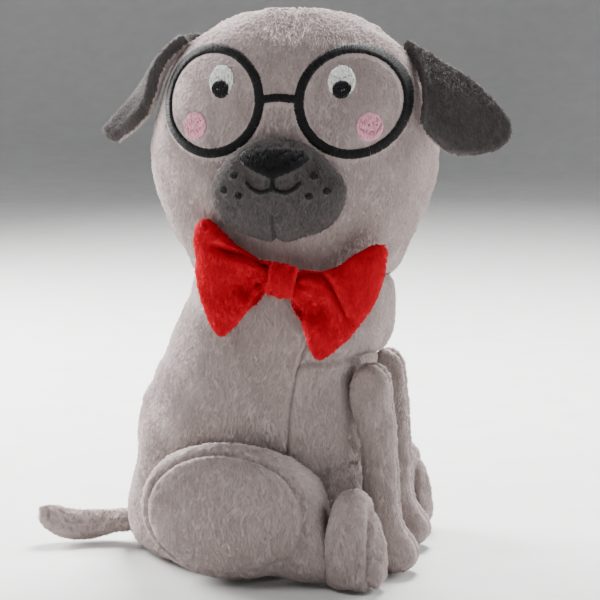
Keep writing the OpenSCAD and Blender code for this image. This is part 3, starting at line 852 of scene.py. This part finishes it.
def loop(side, sign, seed):
    """A gathered loop: a long fold and a hollow by the knot, with creases that fan out.

    The front sinks by at most half of the loop's thickness, to stay clear of the back."""
    name = "bow_loop_" + side
    points, faces = cut_skin([name], 1.0, 5)
    out = bow_frame(points, sign)[0]
    points = points - head_direction(sign, 0, 0) * (ROOT_STRETCH * (1 - smooth(6, 15, out)))[:, None]
    out, up = bow_frame(points, sign)
    normals = normals_of(points, faces)
    ahead = smooth(0.1, 0.8, normals @ FORWARD)
    line = up - fold_height(out, sign)
    fade = smooth(4, 9, out) * (1 - smooth(26, 38, out))
    fold = FOLD_DEPTH * bell(line, 1.5) * fade
    roll = ROLL_HEIGHT * bell(line, 3.2, 4.5) * fade
    deep, drop = HOLLOWS[side]
    hollow = HOLLOW_DEPTH * bell(out, 6.5, deep) * bell(up, 4.6, drop)
    turn = np.arctan2(up, np.maximum(out, 1))
    fan = np.cos(6 * turn + 0.8 * ripple(points, 14, seed)) ** 2
    gather = GATHER_DEPTH * fan * bell(out, 7, 8)
    soft = 0.6 * ripple(points, 9, seed + 1) + 0.3 * ripple(points, 4, seed + 2)
    own = tree_from(points, faces)
    thick = [own.ray_cast(Vector(p - FORWARD * 0.5), Vector(-FORWARD))[3] or 0 for p in points]
    thick = relax(np.array(thick)[:, None], faces, 8)[:, 0]
    sunk = np.minimum((fold - roll + hollow) * ahead, 0.5 * thick)
    points = points - FORWARD * sunk[:, None]
    points = points - normals * (gather + soft + PILE_DEPTH * 0.7)[:, None]
    corner = smooth(14, 36, out) * smooth(-2, 14, up)
    lift = head_direction(0.35 * sign, 0, 1.0 if sign > 0 else 0.2)
    points = points + lift * (CORNER_LIFT * corner)[:, None]
    points = relax(points, faces, 2)
    bow_piece(name, points, faces)
    # The third value, read by the pile as a seam distance, paints shade: the tufts turn darker where
    # the front's long fold and hollow sink in.
    return points, faces, 0.6 + 4 * smooth(0, 1, 1 - (fold + hollow) * ahead / 5)


def knot():
    """The band round the middle, drawn in with a few upright creases."""
    points, faces = cut_skin(["bow_knot"], 0.9, 8)
    normals = normals_of(points, faces)
    out = bow_frame(points, 1)[0]
    crease = 0.35 * np.cos(out * 1.1 + 1.5 * ripple(points, 6, 3.0)) * (np.abs(out) < 7)
    points = points + normals * (crease - 0.3)[:, None]
    points = points - head_direction(1, 0, 0) * (out * 0.04)[:, None]
    bow_piece("bow_knot", points, faces)
    return points, faces, np.full(len(points), 9.0)


ears = {side: ear(side, seed) for side, seed in (("left", 21.0), ("right", 24.0))}
bow = {"bow_loop_left": loop("left", 1, 31.0), "bow_loop_right": loop("right", -1, 35.0),
       "bow_knot": knot()}


# ---- Riding on the frame ----

def neck_blend(made):
    """Body fabric is baked into the row frame where it stands."""
    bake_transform(made)


def head_blend(made):
    """The head's fabric is baked into the row frame where it stands."""
    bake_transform(made)


def limb_moves(name):
    """Legs, feet and the tail ride on their bodies; a thigh, with its ankle, is baked into the row
    frame where it stands.
    """
    if not name.startswith("thigh"):
        return rides_on(name)
    return lambda made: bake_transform(made)


neck_blend(body[2])
head_blend(head[2])
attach(muzzle[2], "head")
for name, (_, _, made, _) in limbs.items():
    limb_moves(name)(made)


# ---- Embroidery ----

face_tree = tree_from(*joined([head[:2], muzzle[:2]]))


def on_face(flat):
    """Points on the front of the head's skin, from x and z in the head's own frame."""
    start = from_head(np.stack([flat[:, 0], np.full(len(flat), -90.0), flat[:, 1]], 1))
    spots, ways = [], []
    for p in start:
        spot, normal, _, _ = face_tree.ray_cast(Vector(p), Vector(-FORWARD))
        spots.append(spot)
        ways.append(normal)
    return np.array(spots), np.array(ways)


# Points along a stitch, and its rounded section: shares of its half width, and heights.
STITCH_POINTS = 7
THREAD_PROFILE = [(-1, -0.45), (-0.6, -0.05), (0, 0.1), (0.6, -0.05), (1, -0.45)]


def stitches(name, slot, ends, lift=0.7, width=0.52, crown=0.45, seed=1):
    """Satin stitches: one rounded thread over the fabric between each pair of ends."""
    rng = np.random.RandomState(seed)
    ends = np.array(ends, float)
    ends = ends + 0.12 * rng.randn(*ends.shape)
    t = np.linspace(0, 1, STITCH_POINTS)
    flat = ends[:, None, :2] * (1 - t)[None, :, None] + ends[:, None, 2:] * t[None, :, None]
    spots, ways = on_face(flat.reshape(-1, 2))
    spots, ways = (v.reshape(-1, STITCH_POINTS, 3) for v in (spots, ways))
    ways = unit(ways + FORWARD)
    run = unit(np.gradient(spots, axis=1))
    side = unit(np.cross(run, ways))
    arch = (lift + crown * np.sin(math.pi * t) ** 0.6)[None, :, None]
    arch = arch - (1.3 * (np.abs(2 * t - 1) > 0.99))[None, :, None]
    half = width / 2 * (1 + 0.1 * rng.randn(len(ends), 1, 1))
    thread = [spots + ways * (arch + over) + side * half * across for across, over in THREAD_PROFILE]
    rows = len(thread)
    points = np.stack(thread, 2).reshape(-1, 3)
    faces = []
    for k in range(len(ends)):
        for i in range(STITCH_POINTS - 1):
            for j in range(rows - 1):
                a = (k * STITCH_POINTS + i) * rows + j
                faces.append([a, a + rows, a + rows + 1, a + 1])
    made = piece(name, points, faces, [THREAD[slot]])
    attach(made, "head")
    return made


def spots_of(name):
    """Middle and half size, as x and z in the head's own frame, of each separate patch of a node."""
    points, faces = read_mesh(NODES[name].data)
    places, index = np.unique(points.round(3), axis=0, return_inverse=True)
    group = np.arange(len(places))
    index = index.ravel()
    changed = True
    while changed:
        before = group.copy()
        for face in faces:
            group[index[face]] = group[index[face]].min()
        group = group[group]
        changed = (group != before).any()
    local = to_head(places)[:, [0, 2]]
    found = []
    for g in sorted(set(group)):
        low, high = local[group == g].min(0), local[group == g].max(0)
        found.append(((low + high) / 2, (high - low) / 2))
    return found


def columns(top, bottom, from_x, to_x, pitch=0.3, longest=4.6, seed=1):
    """Upright stitches that fill an outline between two curves."""
    rng = np.random.RandomState(seed)
    rows = []
    for x in np.arange(from_x + pitch / 2, to_x, pitch):
        z, end = bottom(x), top(x)
        while end - z > 0.4:
            step = min(end - z, longest * rng.uniform(0.7, 1.1))
            step = end - z if end - z - step < 1.2 else step
            rows.append((x, z, x, z + step))
            z += step - 0.25
            if end - z < 0.6:
                break
    return rows


def oval(centre, half, seed=1, longest=4.6):
    def edge(sign):
        return lambda x: centre[1] + sign * half[1] * math.sqrt(
            max(0.0, 1 - ((x - centre[0]) / half[0]) ** 2))
    return columns(edge(1), edge(-1), centre[0] - half[0], centre[0] + half[0], seed=seed,
                   longest=longest)


def band(path, width, pitch=0.27):
    """Stitches across a line sewn along a path."""
    path = np.array(path, float)
    lengths = np.concatenate([[0], np.cumsum(np.linalg.norm(np.diff(path, axis=0), axis=1))])
    along = np.linspace(0, lengths[-1], max(2, int(lengths[-1] / pitch)))
    spots = np.stack([np.interp(along, lengths, path[:, k]) for k in range(2)], 1)
    run = unit(np.gradient(spots, axis=0))
    side = np.stack([-run[:, 1], run[:, 0]], 1) * width / 2
    return np.concatenate([spots - side - run * 0.25, spots + side + run * 0.25], 1)


def arc(centre, radius, start, end, count=60):
    turns = np.radians(np.linspace(start, end, count))
    return [(centre[0] + radius * math.cos(a), centre[1] + radius * math.sin(a)) for a in turns]


LINE = 4.6
glasses = to_head(read_mesh(NODES["glasses_stitching"].data)[0])[:, [0, 2]]
glasses_low, glasses_high = glasses.min(0), glasses.max(0)
lens = (glasses_high[1] - glasses_low[1] - LINE) / 2
lens_z = (glasses_high[1] + glasses_low[1]) / 2
lens_x = (glasses_high[0] - glasses_low[0]) / 2 - lens - LINE / 2
frames = []
for sign in (-1, 1):
    frames.append(band(arc((sign * lens_x, lens_z), lens, 0, 360, 120), LINE))
gap = lens_x - lens
frames.append(band([(t * gap, lens_z + 1.6 - t * t) for t in np.linspace(-1, 1, 9)], LINE * 0.85))
made = stitches("glasses_thread", "black_thread", np.concatenate(frames), seed=2)
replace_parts(made, "glasses_stitching")

fills = [("eye_whites", "white_thread", 0.6), ("pupils", "black_thread", 1.6),
         ("cheek_blush", "pink_thread", 0.6)]
for seed, (name, slot, lift) in enumerate(fills):
    rows = [row for k, (spot, half) in enumerate(spots_of(name))
            for row in oval(spot, half * (1.12 if name == "pupils" else 1), seed=seed + k)]
    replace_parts(stitches(name + "_thread", slot, rows, lift=lift, seed=seed + 3), name)

nose_middle, nose_half = spots_of("nose_stitching")[0]


def nose_top(x):
    u = abs(x) / nose_half[0]
    return nose_middle[1] + nose_half[1] * (0.98 - 0.25 * u ** 2 - 0.55 * u ** 12)


def nose_bottom(x):
    u = abs(x) / nose_half[0]
    return nose_middle[1] + nose_half[1] * (-1.05 + 0.95 * u + 0.4 * u ** 10)


rows = columns(nose_top, nose_bottom, -nose_half[0], nose_half[0], seed=5, longest=5.0)
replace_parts(stitches("nose_thread", "black_thread", rows, lift=0.8, crown=0.3, seed=6),
            "nose_stitching")

mouth_middle, mouth_half = spots_of("mouth_stitching")[0]
mouth_low = mouth_middle[1] - mouth_half[1]
mouth_top = nose_middle[1] - nose_half[1] + 0.5
rows = [band([(0, mouth_top), (0, mouth_low + 2.6)], 1.9)]
for sign in (-1, 1):
    smile = [(sign * (0.4 + 11.1 * t), mouth_low + 2.8 - 2.4 * math.sin(math.radians(150 * t))
              + 3.6 * t * t) for t in np.linspace(0, 1, 20)]
    rows.append(band(smile, 1.8))
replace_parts(stitches("mouth_thread", "black_thread", np.concatenate(rows), lift=0.9, seed=7),
            "mouth_stitching")
rows = [row for spot, half in spots_of("whisker_dots") for row in oval(spot, half * (1.15, 1.35))]
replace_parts(stitches("whisker_thread", "black_thread", rows, lift=0.9, seed=8), "whisker_dots")


# ---- Pile ----

body_solid, head_solid, muzzle_solid = (solid_of(*part[:2]) for part in (body, head, muzzle))
limb_solids = {name: solid_of(*part[:2]) for name, part in limbs.items()}
bow_solids = [solid_of(*part[:2]) for part in bow.values()]
sewn_head = tree_of(["glasses_stitching", "eye_whites", "cheek_blush"])
sewn_muzzle = tree_of(["nose_stitching", "mouth_stitching", "whisker_dots"])


def clear_of(solids):
    def keep(points):
        found = np.ones(len(points), bool)
        for solid in solids:
            found &= ~inside(solid, points)
        return found
    return keep


def bare_head(points):
    """The head's fabric outside its stitching and the muzzle."""
    return (nearest(sewn_head, points) > 1.2) & clear_of([muzzle_solid, body_solid])(points)


def bare_muzzle(points):
    return (nearest(sewn_muzzle, points) > 1.2) & clear_of([head_solid])(points)


def body_cover(points):
    return clear_of([head_solid, *limb_solids.values()])(points)


tufts("head_pile", head_blend, *head[:2], "taupe_minky", keep=bare_head, seed=11, away=head[3])
tufts("muzzle_pile", rides_on("head"), *muzzle[:2], "charcoal_plush", keep=bare_muzzle, seed=12,
      away=muzzle[3])
tufts("body_pile", neck_blend, *body[:2], "taupe_minky", keep=body_cover, seed=13, away=body[3])
for seed, (name, part) in enumerate(limbs.items()):
    others = [body_solid]
    if name.startswith("hind_foot"):
        others.append(limb_solids[name.replace("hind_foot", "thigh")])
    if name.startswith("thigh"):
        others.append(limb_solids[name.replace("thigh", "hind_foot")])
    tufts(name + "_pile", limb_moves(name), *part[:2], "taupe_minky", away=part[3],
          keep=clear_of(others), seed=20 + seed)
for seed, (name, part) in enumerate(bow.items()):
    others = [solid for key, solid in zip(bow, bow_solids) if key != name]
    tufts(name + "_pile", rides_on("bow_tie"), *part[:2], "red_minky", keep=clear_of(others),
          away=part[2], seed=40 + seed, length=1.5)
for seed, (side, (points, faces, shown)) in enumerate(ears.items()):
    for slot, group in (("charcoal_plush", False), ("taupe_minky", True)):
        chosen = [f for f, s in zip(faces, shown) if s == group]
        tufts(f"ear_{side}_{slot}_pile", rides_on("ear_" + side), points, chosen, slot,
              keep=clear_of([head_solid]), seed=50 + seed, length=1.5)


pouch = NODES["pellet_pouch"].data
pouch.materials.clear()
pouch.materials.append(weave("pouch_cloth", POUCH))


# ---- Stage ----

def look(name, place, target, energy, size):
    """A square area light that looks at a target."""
    data = bpy.data.lights.new(name, "AREA")
    data.energy, data.size = energy, size
    lamp = bpy.data.objects.new(name, data)
    bpy.context.scene.collection.objects.link(lamp)
    lamp.location = place
    lamp.rotation_euler = (Vector(target) - Vector(place)).to_track_quat("-Z", "Y").to_euler()


def floor():
    """A wide pale dish: flat under the object, rising softly far behind it on every side."""
    mesh = bpy.data.meshes.new("floor")
    rows = [(0.01, 0), (1, 0), (2, 0)]
    rows += [(2 + 1.5 * math.sin(a), 1.5 - 1.5 * math.cos(a)) for a in np.radians(range(9, 82, 9))]
    sides = 96
    turns = [2 * math.pi * k / sides for k in range(sides)]
    points = [(r * math.cos(t), r * math.sin(t), z) for r, z in rows for t in turns]
    faces = [tuple(range(sides))]
    for r in range(len(rows) - 1):
        for k in range(sides):
            a, b = r * sides + k, r * sides + (k + 1) % sides
            faces.append((a, a + sides, b + sides, b))
    mesh.from_pydata(points, [], faces)
    mesh.polygons.foreach_set("use_smooth", [True] * len(faces))
    made = bpy.data.objects.new("floor", mesh)
    bpy.context.scene.collection.objects.link(made)
    mat, shader = material("pale_floor", 0.8)
    speck = grain(mat, 30, (1, 1, 1))
    shade(mat, shader, speck.outputs["Fac"], FLOOR_LOW, FLOOR_HIGH)
    mesh.materials.append(mat)


# Each light's name, place, target, power and size.
LIGHTS = [
    ("key", (-0.7, 0.35, 1.25), (0, 0, 0.15), 6.8, 0.7),
    ("fill", (-1.1, -0.8, 0.5), (0, 0, 0.13), 1.5, 0.9),
    ("rim_left", (0.35, 1.0, 0.5), (0, 0, 0.13), 52, 0.6),
    ("rim_right", (0.6, -0.9, 0.5), (0, 0, 0.15), 14, 0.6),
    ("rim_top", (0.6, 0.0, 1.1), (0, 0, 0.2), 50, 0.5),
]
CAMERA_PLACE = (-0.8187, -0.2285, 0.240)
CAMERA_TARGET = (0.0023, -0.0085, 0.1198)

floor()
for light in LIGHTS:
    look(*light)
world = bpy.data.worlds.new("studio")
world.use_nodes = True
world.node_tree.nodes["Background"].inputs["Color"].default_value = (0.82, 0.85, 0.9, 1)
world.node_tree.nodes["Background"].inputs["Strength"].default_value = 0.24
bpy.context.scene.world = world

eye = bpy.data.cameras.new("camera")
eye.lens, eye.sensor_width = 110.8, 36
camera = bpy.data.objects.new("camera", eye)
bpy.context.scene.collection.objects.link(camera)
camera.location = CAMERA_PLACE
aim = Vector(CAMERA_TARGET) - camera.location
camera.rotation_euler = aim.to_track_quat("-Z", "Y").to_euler()
bpy.context.scene.camera = camera
